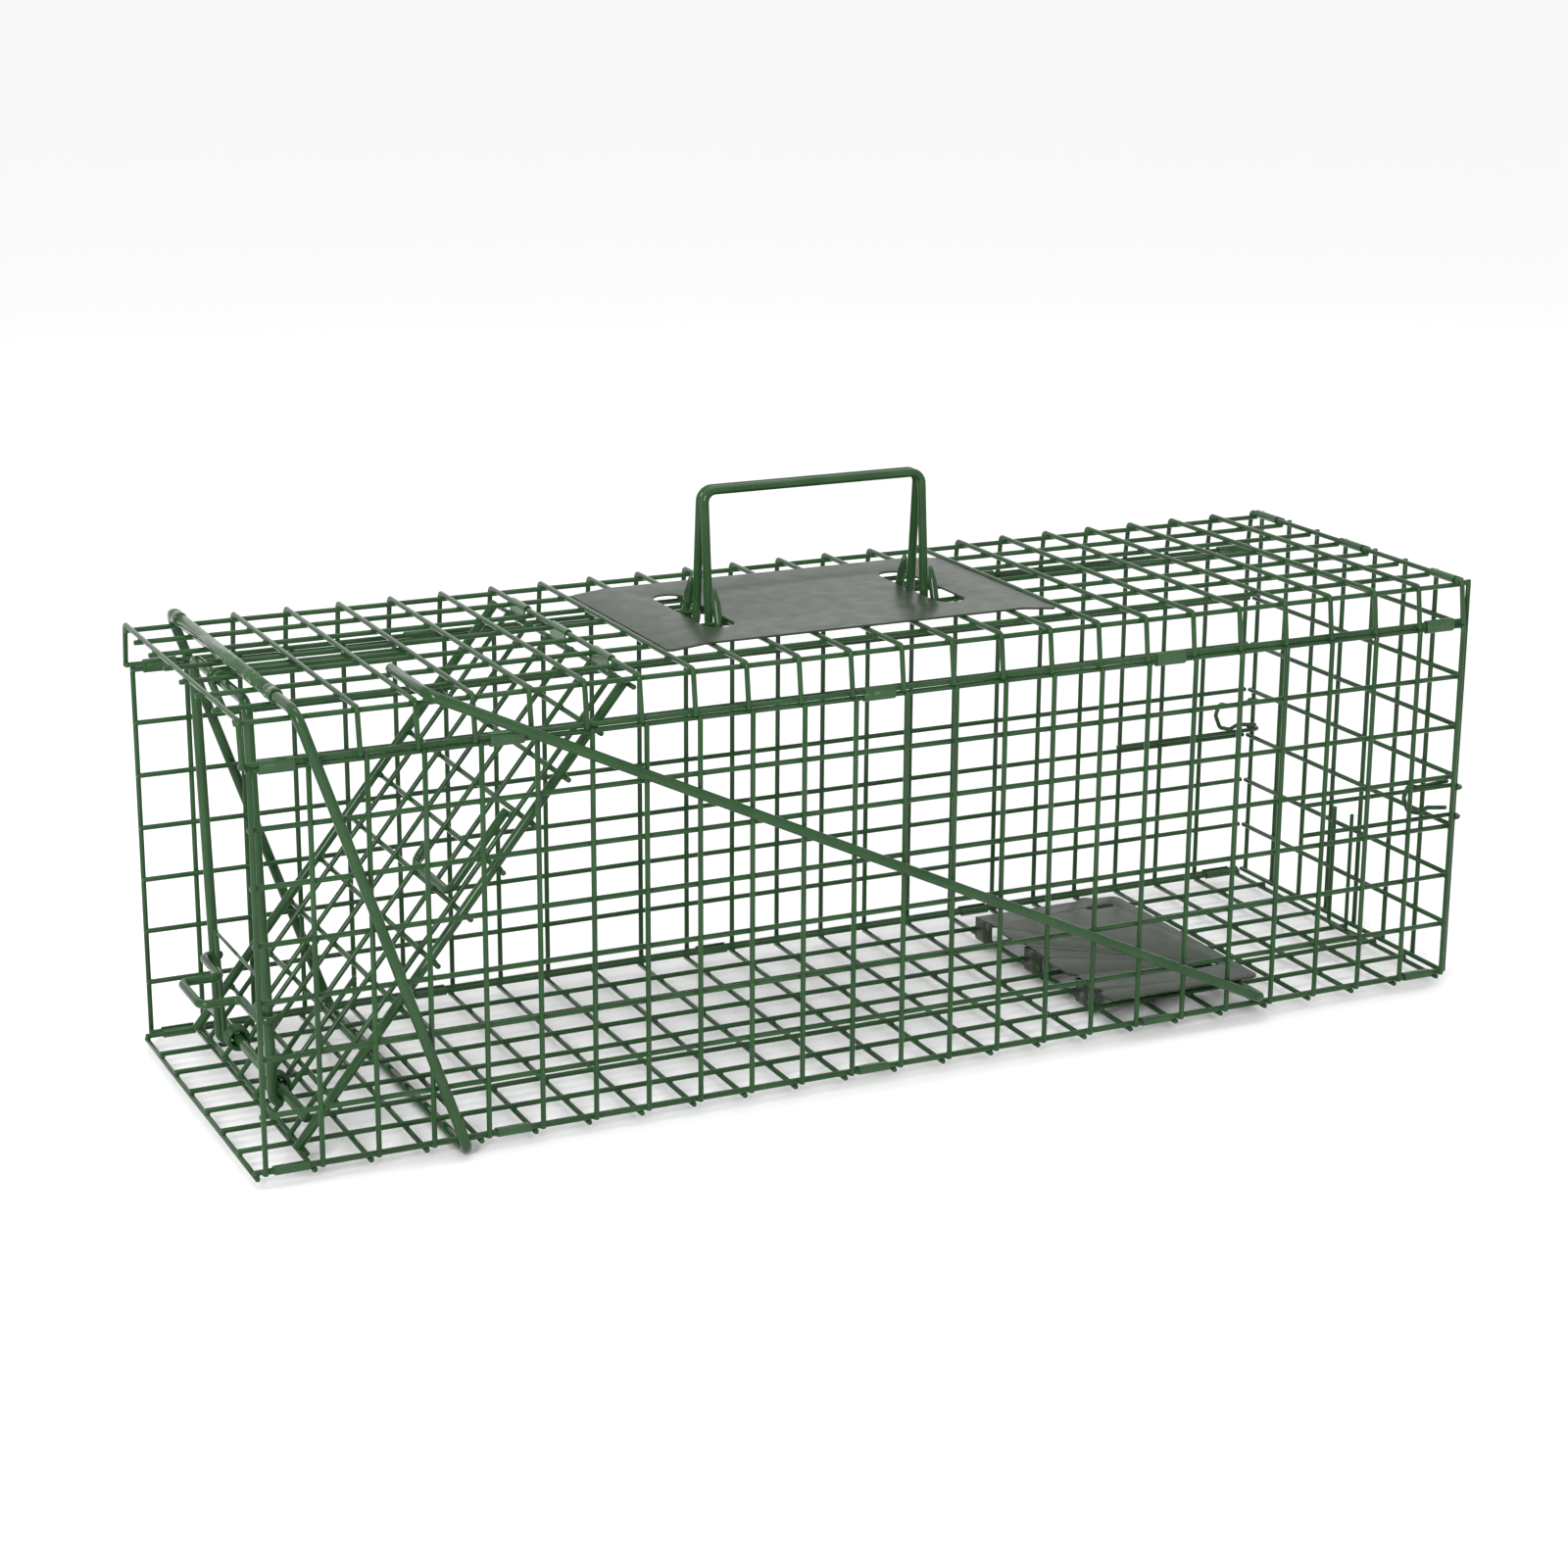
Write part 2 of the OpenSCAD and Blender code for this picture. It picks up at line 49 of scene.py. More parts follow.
# Sizes are in millimetres. X starts at the first cross wire, Y at the near edge wire of the floor,
# and Z at the ground.
MM = 0.001
PITCH = 25.4
CELLS_LONG = 24
CELLS_WIDE = 7
LENGTH = CELLS_LONG * PITCH
WIDTH = CELLS_WIDE * PITCH
MID_Y = WIDTH / 2
WIRE_R = 1.2
ROD_R = 2.4
HANDLE_R = 2.05
LAYER = 2.2
floor_low, floor_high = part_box("floor_panel")
ORIGIN = Vector((floor_low.x / MM + WIRE_R, (floor_low.y + floor_high.y) / 2 / MM - MID_Y, 0))

FLOOR_CROSS_Z = 4.4
FLOOR_LONG_Z = FLOOR_CROSS_Z + LAYER
SIDE_LOW_Z = 7.2
SIDE_HIGH_Z = SIDE_LOW_Z + 7 * PITCH
TOP_CROSS_Z = 206.8
TOP_LONG_Z = TOP_CROSS_Z - LAYER
FLANGE_LOW_Z = SIDE_HIGH_Z + 2.5
SIDE_OUT = 2.4
UPRIGHT_OUT = SIDE_OUT + LAYER
REAR_X = LENGTH + 3.2
REAR_TOP_Z = 205.6
UPRIGHT_X0 = 3.0
UPRIGHT_X1 = LENGTH + 0.6
UPRIGHT_STEP = (UPRIGHT_X1 - UPRIGHT_X0) / CELLS_LONG

DOOR_X, DOOR_Z = 178.4, 199.6
DOOR_SLOPE = math.radians(51.05)
DOOR_STEP = 24.5
DOOR_ROWS = 10
DOOR_LEN = DOOR_STEP * DOOR_ROWS
DOOR_EDGE = 9.5
DOOR_ROD_R = 2.2
PIVOT_S = 233.0
PIVOT_N = LAYER + WIRE_R + ROD_R + 0.05

SIDES = 14                     # corners of a swept wire's section
ROD_SIDES = 20
ARC_STEP = math.radians(9)
SHARP = math.radians(50)


def spot(p):
    """A point in millimetres as a point of the row frame."""
    return (Vector(p) + ORIGIN) * MM


def far(p):
    """The mirror image of a point on the far side."""
    return Vector((p[0], WIDTH - p[1], p[2]))


# ---------------------------------------------------------------- paths

def arc(centre, start, turn, across):
    """Points of an arc that starts at centre + start and turns by an angle towards across."""
    steps = max(2, round(abs(turn) / ARC_STEP))
    centre, start, across = Vector(centre), Vector(start), Vector(across)
    side = across.normalized() * start.length
    angles = [turn * i / steps for i in range(steps + 1)]
    return [centre + start * math.cos(a) + side * math.sin(a) for a in angles]


def rounded(points, radius, closed=False):
    """A path with its corners turned into arcs of the given radius, one value or one per corner."""
    points = [Vector(p) for p in points]
    count = len(points)
    corners = range(count) if closed else range(1, count - 1)
    out = [] if closed else [points[0]]
    for n, i in enumerate(corners):
        before, here, after = points[i - 1], points[i], points[(i + 1) % count]
        a = (before - here).normalized()
        b = (after - here).normalized()
        size = radius[n] if isinstance(radius, (list, tuple)) else radius
        half = a.angle(b) / 2
        if size <= 0 or half > math.radians(89.5):
            out.append(here)
            continue
        back = size / math.tan(half)
        centre = here + (a + b).normalized() * (size / math.sin(half))
        start = here + a * back - centre
        out += arc(centre, start, math.pi - 2 * half, -a)
    return out if closed else out + [points[-1]]


def waved(a, b, swing=0.1):
    """A straight wire with the small wander of drawn wire."""
    a, b = Vector(a), Vector(b)
    steps = max(1, round((b - a).length / (2 * PITCH)))
    out = [a]
    for i in range(1, steps):
        drift = Vector((draw.uniform(-swing, swing) for _ in range(3)))
        out.append(a.lerp(b, i / steps) + drift)
    return out + [b]


# ---------------------------------------------------------------- meshes

def ring_of(bm, centre, u, v, radius, sides):
    turns = [2 * math.pi * k / sides for k in range(sides)]
    return [bm.verts.new(spot(centre + (u * math.cos(t) + v * math.sin(t)) * radius)) for t in turns]


def sweep(bm, path, radius, closed=False, sides=SIDES, taper=0.0):
    """A round wire along a path; its ends are softly rounded, or pointed over the taper length."""
    path = [Vector(p) for p in path]
    count = len(path)
    tangents = []
    for i in range(count):
        if closed:
            t = path[(i + 1) % count] - path[i - 1]
        else:
            t = path[min(i + 1, count - 1)] - path[max(i - 1, 0)]
        tangents.append(t.normalized())
    u = tangents[0].orthogonal().normalized()
    rings = []
    ends = [] if closed else [(0.0, 0.62), (0.16, 0.88), (0.42, 1.0)]
    if taper:
        ends = [(0.0, 0.34), (0.1, 0.5), (taper / radius, 1.0)]
    for i, t in enumerate(tangents):
        u = (u - t * u.dot(t)).normalized()
        v = t.cross(u)
        if i == 0 and ends:
            rings += [ring_of(bm, path[0] + t * radius * d, u, v, radius * r, sides) for d, r in ends]
        elif i == count - 1 and ends:
            tip = path[-1]
            rings += [ring_of(bm, tip - t * radius * d, u, v, radius * r, sides) for d, r in ends[::-1]]
        else:
            rings.append(ring_of(bm, path[i], u, v, radius, sides))
    pairs = list(zip(rings, rings[1:]))
    for a, b in pairs:
        for k in range(sides):
            bm.faces.new((a[k], a[(k + 1) % sides], b[(k + 1) % sides], b[k]))
    if closed:
        a, b = rings[-1], rings[0]
        best = min(range(sides), key=lambda s: (a[0].co - b[s].co).length)
        for k in range(sides):
            bm.faces.new((a[k], a[(k + 1) % sides], b[(k + 1 + best) % sides], b[(k + best) % sides]))
    else:
        bm.faces.new(rings[0][::-1])
        bm.faces.new(rings[-1])


def nugget(bm, p, wide=1.55, high=1.4):
    """The small bead where two crossing wires are welded."""
    grow = [wide * draw.uniform(0.94, 1.08) * MM, wide * draw.uniform(0.94, 1.08) * MM, high * MM]
    place = Matrix.Translation(spot(p)) @ Matrix.Diagonal((*grow, 1))
    bmesh.ops.create_icosphere(bm, subdivisions=2, radius=1, matrix=place)


def strip(bm, profile, width_axis, start, width, thick):
    """Sheet metal: an open profile with a thickness, drawn out along an axis."""
    profile = [Vector(p) for p in profile]
    axis = Vector(width_axis)
    inner, outer = [], []
    for i, p in enumerate(profile):
        t = (profile[min(i + 1, len(profile) - 1)] - profile[max(i - 1, 0)]).normalized()
        n = axis.cross(t).normalized() * thick / 2
        inner.append(p - n)
        outer.append(p + n)
    outline = inner + outer[::-1]
    front = [bm.verts.new(spot(p + axis * start)) for p in outline]
    back = [bm.verts.new(spot(p + axis * (start + width))) for p in outline]
    count = len(outline)
    for k in range(count):
        bm.faces.new((front[k], front[(k + 1) % count], back[(k + 1) % count], back[k]))
    last = len(profile) - 1
    for k in range(last):
        a, b, c, d = k, k + 1, count - 2 - k, count - 1 - k
        bm.faces.new((front[d], front[c], front[b], front[a]))
        bm.faces.new((back[a], back[b], back[c], back[d]))


def piece(name, body, material, bm, nodes, bevel=0.0):
    """Turns a bmesh into a piece that rides on a body and stands for CAD nodes."""
    bmesh.ops.recalc_face_normals(bm, faces=bm.faces)
    mesh = bpy.data.meshes.new(name)
    bm.to_mesh(mesh)
    bm.free()
    obj = bpy.data.objects.new(name, mesh)
    bpy.context.collection.objects.link(obj)
    mesh.materials.append(material)
    if bevel:
        edge = obj.modifiers.new("edge", "BEVEL")
        edge.width = bevel * MM
        edge.segments = 3
        edge.limit_method = "ANGLE"
        edge.angle_limit = SHARP
        edge.harden_normals = False
    mesh.shade_smooth()
    if bevel:
        mesh.set_sharp_from_angle(angle=SHARP)
    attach(obj, body)
    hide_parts(*nodes)
    return obj


# ---------------------------------------------------------------- materials

# Noise scales of a coating, coarse to fine.
PATCH_SCALE, GLOSS_SCALE, RUB_SCALE, PEEL_SCALE = 38, 120, 260, 900
PEEL_DEPTH = 0.0002
COAT_ROUGHNESS = 0.12


def coated(name, dark, light, worn, rough, peel, coat, shine):
    """Glossy coating: two close colours in soft patches, paler rubbed edges, orange peel."""
    mat = bpy.data.materials.new(name)
    mat.use_nodes = True
    nodes, links = mat.node_tree.nodes, mat.node_tree.links
    shader = nodes["Principled BSDF"]
    where = nodes.new("ShaderNodeTexCoord").outputs["Object"]

    def noise(scale, detail):
        node = nodes.new("ShaderNodeTexNoise")
        node.inputs["Scale"].default_value = scale
        node.inputs["Detail"].default_value = detail
        links.new(where, node.inputs["Vector"])
        return node.outputs["Fac"]

    def spread(value, low, high, out_low=0.0, out_high=1.0):
        node = nodes.new("ShaderNodeMapRange")
        node.inputs["From Min"].default_value = low
        node.inputs["From Max"].default_value = high
        node.inputs["To Min"].default_value = out_low
        node.inputs["To Max"].default_value = out_high
        links.new(value, node.inputs["Value"])
        return node.outputs["Result"]

    def mixed(factor, a, b):
        node = nodes.new("ShaderNodeMix")
        node.data_type = "RGBA"
        links.new(factor, node.inputs["Factor"])
        for key, value in (("A", a), ("B", b)):
            socket = [s for s in node.inputs if s.name == key and s.type == "RGBA"][0]
            if isinstance(value, tuple):
                socket.default_value = (*value, 1)
            else:
                links.new(value, socket)
        return [s for s in node.outputs if s.type == "RGBA"][0]

    patches = spread(noise(PATCH_SCALE, 3), 0.35, 0.65)
    body = mixed(patches, dark, light)
    pointed = nodes.new("ShaderNodeNewGeometry").outputs["Pointiness"]
    rubbed = spread(pointed, 0.56, 0.66)
    spots = spread(noise(RUB_SCALE, 4), 0.52, 0.66)
    both = nodes.new("ShaderNodeMath")
    both.operation = "MULTIPLY"
    links.new(rubbed, both.inputs[0])
    links.new(spots, both.inputs[1])
    links.new(mixed(both.outputs[0], body, worn), shader.inputs["Base Color"])
    gloss = spread(noise(GLOSS_SCALE, 3), 0.3, 0.7, rough * 0.88, rough * 1.14)
    links.new(gloss, shader.inputs["Roughness"])
    bump = nodes.new("ShaderNodeBump")
    bump.inputs["Strength"].default_value = peel
    bump.inputs["Distance"].default_value = PEEL_DEPTH
    links.new(noise(PEEL_SCALE, 2), bump.inputs["Height"])
    links.new(bump.outputs["Normal"], shader.inputs["Normal"])
    shader.inputs["Specular IOR Level"].default_value = shine
    shader.inputs["Coat Weight"].default_value = coat
    shader.inputs["Coat Roughness"].default_value = COAT_ROUGHNESS
    return mat


GREEN_DARK = (0.0125, 0.044, 0.0125)
GREEN_LIGHT = (0.020, 0.061, 0.0195)
GREEN_WORN = (0.04, 0.12, 0.04)
CLIP_DARK = (0.014, 0.049, 0.014)
CLIP_LIGHT = (0.022, 0.068, 0.022)
CLIP_WORN = (0.12, 0.22, 0.12)
SHEET_DARK = (0.024, 0.036, 0.021)
SHEET_LIGHT = (0.027, 0.040, 0.024)
SHEET_WORN = (0.13, 0.16, 0.12)
wire_paint = coated("wire_paint", GREEN_DARK, GREEN_LIGHT, GREEN_WORN, 0.13, 0.05, 0.0, 0.22)
rod_paint = coated("rod_paint", GREEN_DARK, GREEN_LIGHT, GREEN_WORN, 0.12, 0.05, 0.03, 0.24)
clip_paint = coated("clip_paint", CLIP_DARK, CLIP_LIGHT, CLIP_WORN, 0.13, 0.06, 0.05, 0.34)
sheet_paint = coated("sheet_paint", SHEET_DARK, SHEET_LIGHT, SHEET_WORN, 0.34, 0.05, 0.0, 0.17)


# ---------------------------------------------------------------- mesh panels

def floor_panel():
    """Long wires welded on top of cross wires."""
    bm = bmesh.new()
    for i in range(CELLS_LONG + 1):
        x = i * PITCH
        sweep(bm, waved((x, -2.6, FLOOR_CROSS_Z), (x, WIDTH + 2.6, FLOOR_CROSS_Z)), WIRE_R)
    for j in range(CELLS_WIDE + 1):
        y = j * PITCH
        sweep(bm, waved((-1, y, FLOOR_LONG_Z), (LENGTH + 1, y, FLOOR_LONG_Z)), WIRE_R)
    for i in range(CELLS_LONG + 1):
        for j in range(CELLS_WIDE + 1):
            nugget(bm, (i * PITCH, j * PITCH, (FLOOR_CROSS_Z + FLOOR_LONG_Z) / 2))
    piece("mesh_floor", "cage", wire_paint, bm, ["floor_panel"])


def side_panel(name, node, turn):
    """Uprights welded on the outside of long wires."""
    bm = bmesh.new()
    uprights = [UPRIGHT_X0 + i * UPRIGHT_STEP for i in range(CELLS_LONG + 1)]
    levels = [SIDE_LOW_Z + k * PITCH for k in range(8)]
    for z in levels:
        a, b = (UPRIGHT_X0 - 1.2, -SIDE_OUT, z), (UPRIGHT_X1 + 1, -SIDE_OUT, z)
        sweep(bm, waved(turn(a), turn(b)), WIRE_R)
    for x in uprights:
        a, b = (x, -UPRIGHT_OUT, SIDE_LOW_Z - 0.8), (x, -UPRIGHT_OUT, SIDE_HIGH_Z + 0.8)
        sweep(bm, waved(turn(a), turn(b), 0.06), WIRE_R)
        for z in levels:
            nugget(bm, turn((x, -(SIDE_OUT + UPRIGHT_OUT) / 2, z)))
    piece(name, "cage", wire_paint, bm, [node])


def top_panel():
    """The top with both folded flanges: each cross wire runs down the two sides in one piece."""
    bm = bmesh.new()
    cross = [i * PITCH for i in range(CELLS_LONG + 1) if i != 1]
    fold_y, fold_r = -2.0, 2.0
    edges = (1.5, WIDTH - 1.5)
    for x in cross:
        near_low = Vector((x, -UPRIGHT_OUT - 0.2, FLANGE_LOW_Z - 1.2))
        near_top = Vector((x, fold_y, TOP_CROSS_Z))
        points = [near_low, near_top, far(near_top), far(near_low)]
        sweep(bm, rounded(points, fold_r), WIRE_R)
        for y in edges:
            nugget(bm, (x, y, TOP_CROSS_Z - LAYER / 2))
        for j in range(1, CELLS_WIDE):
            nugget(bm, (x, j * PITCH, TOP_CROSS_Z - LAYER / 2))
        for turn in (Vector, far):
            nugget(bm, turn((x, -(SIDE_OUT + UPRIGHT_OUT) / 2, FLANGE_LOW_Z)))
    for j in range(1, CELLS_WIDE):
        sweep(bm, waved((-3.2, j * PITCH, TOP_LONG_Z), (LENGTH + 1, j * PITCH, TOP_LONG_Z)), WIRE_R)
    for y in edges:
        sweep(bm, waved((-1.2, y, TOP_LONG_Z), (LENGTH + 1.2, y, TOP_LONG_Z)), WIRE_R)
    for turn in (Vector, far):
        a, b = (-1, -SIDE_OUT, FLANGE_LOW_Z), (LENGTH + 1, -SIDE_OUT, FLANGE_LOW_Z)
        sweep(bm, waved(turn(a), turn(b), 0.05), WIRE_R)
    nodes = ["top_panel", "top_flange_near", "top_flange_far"]
    piece("mesh_top", "cage", wire_paint, bm, nodes)


def rear_door():
    """Uprights welded on the outside of cross wires, with one more cross wire as its hinge."""
    bm = bmesh.new()
    inner, outer = REAR_X, REAR_X + LAYER
    levels = [SIDE_LOW_Z + k * PITCH for k in range(8)] + [REAR_TOP_Z]
    for j in range(CELLS_WIDE + 1):
        y = j * PITCH
        sweep(bm, waved((outer, y, SIDE_LOW_Z - 1.4), (outer, y, REAR_TOP_Z + 1.4), 0.06), WIRE_R)
        for z in levels:
            nugget(bm, ((inner + outer) / 2, y, z))
    for z in levels:
        sweep(bm, waved((inner, -1.4, z), (inner, WIDTH + 1.4, z), 0.06), WIRE_R)
    piece("rear_door", "rear_door", wire_paint, bm, ["rear_door_mesh"])


# ---------------------------------------------------------------- folded clips

SHEET_GAP = 0.08               # between a wire and the sheet curled round it
CLIP_T = 0.7
CLIP_BEVEL = 0.16
SEAM_CLIP_LEN = 15.6
SEAM_CLIP_START = 4.4          # past the upright before it
HINGE_CLIP_LEN = 19


def clip_profile(a, b):
    """A sheet wrapped round two wires, its free edge lapped over its first flat."""
    mid = WIRE_R + SHEET_GAP + CLIP_T / 2
    a, b = Vector((0, *a)), Vector((0, *b))
    along = (b - a).normalized()
    side = Vector((0, -along.z, along.y))
    out = [a + along * 0.3 + side * mid]
    out += arc(a, side * mid, math.pi, -along)
    out += arc(b, -side * mid, math.pi, along)
    return out


def seam_clips(name, node, a, b, cells, turn_far):
    """Clips along an edge of the cage; a and b are in the YZ plane."""
    bm = bmesh.new()
    if turn_far:
        a, b = (WIDTH - a[0], a[1]), (WIDTH - b[0], b[1])
    profile = clip_profile(a, b)
    for k in cells:
        x = UPRIGHT_X0 + k * UPRIGHT_STEP + SEAM_CLIP_START
        strip(bm, profile, (1, 0, 0), x, SEAM_CLIP_LEN, CLIP_T)
    piece(name, "cage", clip_paint, bm, [node], bevel=CLIP_BEVEL)


def hinge_clips(name, node, a, b, centres):
    """Clips whose wires run across the trap; a and b are in the XZ plane."""
    bm = bmesh.new()
    profile = [Vector((p.y, 0, p.z)) for p in clip_profile(a, b)]
    for y in centres:
        strip(bm, profile, (0, 1, 0), y - HINGE_CLIP_LEN / 2, HINGE_CLIP_LEN, CLIP_T)
    piece(name, "cage", clip_paint, bm, [node], bevel=CLIP_BEVEL)


# ---------------------------------------------------------------- front door

DOOR_DOWN = Vector((-math.cos(DOOR_SLOPE), 0, -math.sin(DOOR_SLOPE)))
DOOR_OUT = Vector((-math.sin(DOOR_SLOPE), 0, math.cos(DOOR_SLOPE)))


def on_door(s, y, n):
    """A point s down the door, y across it and n off its front face."""
    return Vector((DOOR_X, y, DOOR_Z)) + DOOR_DOWN * s + DOOR_OUT * n


def front_door():
    """The mesh, the two side rods on it, and the foot rod that carries the springs."""
    bm = bmesh.new()
    rows = [k * DOOR_STEP for k in range(DOOR_ROWS + 1)]
    wire_end = DOOR_EDGE - 4.6
    for s in rows:
        a, b = on_door(s, wire_end, 0), on_door(s, WIDTH - wire_end, 0)
        sweep(bm, waved(a, b, 0.06), WIRE_R)
        for j in range(1, CELLS_WIDE):
            nugget(bm, on_door(s, j * PITCH, LAYER / 2))
    for j in range(1, CELLS_WIDE):
        a, b = on_door(-0.9, j * PITCH, LAYER), on_door(DOOR_LEN + 1, j * PITCH, LAYER)
        sweep(bm, waved(a, b, 0.06), WIRE_R)
    piece("door_mesh_wires", "door", wire_paint, bm, ["door_mesh"])
    n = WIRE_R + DOOR_ROD_R + 0.03
    for name, y in (("near", DOOR_EDGE), ("far", WIDTH - DOOR_EDGE)):
        bm = bmesh.new()
        sweep(bm, [on_door(-1, y, n), on_door(DOOR_LEN + 1.6, y, n)], DOOR_ROD_R, sides=ROD_SIDES)
        for s in rows[1:]:
            nugget(bm, on_door(s, y, WIRE_R), 2.0, 1.4)
        piece("door_side_rod_" + name, "door", rod_paint, bm, ["door_rod_" + name])
    bm = bmesh.new()
    rod_end = DOOR_EDGE + 3.6
    a, b = on_door(PIVOT_S, rod_end, PIVOT_N), on_door(PIVOT_S, WIDTH - rod_end, PIVOT_N)
    sweep(bm, [a, b], ROD_R, sides=ROD_SIDES)
    piece("door_pivot_rod", "door", rod_paint, bm, ["door_foot_rod"])


def catch_loop():
    """The catch loop: a rod bent to a J, welded on top of the door's long wires."""
    bm = bmesh.new()
    rod_r = 2.0
    n = LAYER + WIRE_R + rod_r + 0.03
    outline = [(75, 27.4), (119, 27.4), (119, 73.4), (106, 73.4)]
    sweep(bm, rounded([on_door(s, y, n) for s, y in outline], 5), rod_r, sides=ROD_SIDES)
    for s in (3 * DOOR_STEP + 2.5, 4 * DOOR_STEP):
        nugget(bm, on_door(s, 26.6, LAYER + 1.1), 1.6, 1.4)
    piece("door_loop", "door", rod_paint, bm, ["door_catch_loop"])


def spring(name, node, turn):
    """A torsion spring: leg up the lock frame, close coils on the foot rod, leg up the door."""
    bm = bmesh.new()
    centre = on_door(PIVOT_S, 0, PIVOT_N)
    coil, length, steps = 4.6, 8.1, 82
    start, leave = math.pi, math.radians(1401.7)
    first_y = MID_Y - 36.6 + WIRE_R
    last_y = first_y + length
    leg_x, tie_z = centre.x - 6.6, 73
    path = [Vector((leg_x, first_y, tie_z + 1))]
    path.append(Vector((centre.x - coil - 0.1, first_y, centre.z + 5)))
    for i in range(steps + 1):
        a = start + (leave - start) * i / steps
        y = first_y + length * i / steps
        path.append(Vector((centre.x + coil * math.cos(a), y, centre.z + coil * math.sin(a))))
    leg_n = 2 * WIRE_R + 0.05
    path += [on_door(PIVOT_S - 8, last_y, leg_n), on_door(175, last_y, leg_n)]
    sweep(bm, [turn(p) for p in path], WIRE_R * 0.98, sides=12)
    tie = [Vector((leg_x, first_y, tie_z)), Vector((leg_x, MID_Y, tie_z))]
    sweep(bm, [turn(p) for p in tie], 0.8, sides=12)
    piece(name, "door", rod_paint, bm, [node])


# ---------------------------------------------------------------- lock frame and its hanger

LOCK_X, LOCK_Z = 18.0, 200.65
LOCK_HALF = 41.9
LOCK_HOOK_R = 5.1
pivot = on_door(PIVOT_S, 0, PIVOT_N)
lock_span = math.hypot(pivot.x - LOCK_X, LOCK_Z - pivot.z)
LOCK_LEG = math.sqrt(lock_span ** 2 - LOCK_HOOK_R ** 2)
LOCK_LEAN = math.atan2(pivot.x - LOCK_X, LOCK_Z - pivot.z) - math.asin(LOCK_HOOK_R / lock_span)


def on_lock(x, y, z):
    """A point of the lock frame: x behind its plane, y from the middle, z up from its top bar."""
    turned = Matrix.Rotation(-LOCK_LEAN, 3, "Y") @ Vector((x, 0, z))
    return Vector((LOCK_X, MID_Y + y, LOCK_Z)) + turned


def lock_frame():
    """One rod: a bar, two legs, and a hook under the door's foot rod at the end of each leg."""
    bm = bmesh.new()
    hook, steps = [], 9
    for i in range(steps + 1):
        a = math.radians(180 + 80 * i / steps)
        hook.append((LOCK_HOOK_R + LOCK_HOOK_R * math.cos(a), -LOCK_LEG + LOCK_HOOK_R * math.sin(a)))
    near = [on_lock(x, -LOCK_HALF, z) for x, z in hook[::-1]]
    far_end = [on_lock(x, LOCK_HALF, z) for x, z in hook]
    bar = rounded([near[-1], on_lock(0, -LOCK_HALF, 0), on_lock(0, LOCK_HALF, 0), far_end[0]], 7)
    sweep(bm, near[:-1] + bar + far_end[1:], ROD_R, sides=ROD_SIDES)
    piece("lock_frame", "lock_frame", rod_paint, bm, ["lock_frame_bar", "lock_frame_legs"])


def lock_pull():
    """The finger pull, its two ends curled round the legs."""
    bm = bmesh.new()
    pull_r, half, z = 2.0, 16.0, 58.0
    leg_x = LOCK_X + math.tan(LOCK_LEAN) * (LOCK_Z - z)
    curl_r = ROD_R + pull_r + 0.03
    front_x, back_x = -1.5, leg_x - curl_r
    curls, corners = [], []
    for side in (-1, 1):
        centre = Vector((leg_x, MID_Y + side * LOCK_HALF, z))
        curls.append(arc(centre, (-curl_r, 0, 0), math.radians(150), (0, side, 0)))
        corners.append([Vector((x, MID_Y + side * half, z)) for x in (back_x, front_x)])
    near_curl, far_curl = curls
    path = rounded([near_curl[0], *corners[0], *corners[1][::-1], far_curl[0]], 4)
    sweep(bm, near_curl[:0:-1] + path + far_curl[1:], pull_r, sides=18)
    piece("lock_finger_pull", "lock_frame", rod_paint, bm, ["lock_pull"])


def lock_hanger():
    """Two wires side by side under the top, hooked over the lock frame's bar."""
    bm = bmesh.new()
    reach = 3.68
    back_x = 4 * PITCH + 3
    for y in (MID_Y - 2.9, MID_Y + 2.9):
        hook = arc((LOCK_X, y, LOCK_Z), (0, 0, reach), math.radians(115), (-1, 0, 0))
        tip = hook[-1] + (hook[-1] - hook[-2]).normalized() * 12
        sweep(bm, [Vector((back_x, y, LOCK_Z + reach))] + hook + [tip], WIRE_R, sides=16)
    piece("lock_hook_wires", "cage", rod_paint, bm, ["lock_hanger"])


# ---------------------------------------------------------------- brace hoop

BRACE_X, BRACE_Z = 93.5, 2.4
BRACE_TOP_X, BRACE_TOP_Z = 22.5, 209.6
BRACE_OUT = 8.6


def brace_hoop():
    """A closed hoop that leans over the front end and under the floor."""
    bm = bmesh.new()
    y0, y1 = -BRACE_OUT, WIDTH + BRACE_OUT
    corners = [(BRACE_X, y0, BRACE_Z), (BRACE_TOP_X, y0, BRACE_TOP_Z)]
    corners += [(BRACE_TOP_X, y1, BRACE_TOP_Z), (BRACE_X, y1, BRACE_Z)]
    sweep(bm, rounded(corners, 8, closed=True), ROD_R, closed=True, sides=ROD_SIDES)
    nodes = ["brace_top_bar", "brace_arms", "brace_foot_bar"]
    piece("brace_hoop", "brace", rod_paint, bm, nodes)


def lathe(bm, y0, outline, sides=32):
    """A ring round the brace's top bar; the outline is a closed list of (y, radius)."""
    rings = []
    for y, r in outline:
        centre = Vector((BRACE_TOP_X, y0 + y, BRACE_TOP_Z))
        rings.append(ring_of(bm, centre, Vector((1, 0, 0)), Vector((0, 0, 1)), r, sides))
    for a, b in zip(rings, rings[1:] + rings[:1]):
        for k in range(sides):
            bm.faces.new((a[k], a[(k + 1) % sides], b[(k + 1) % sides], b[k]))


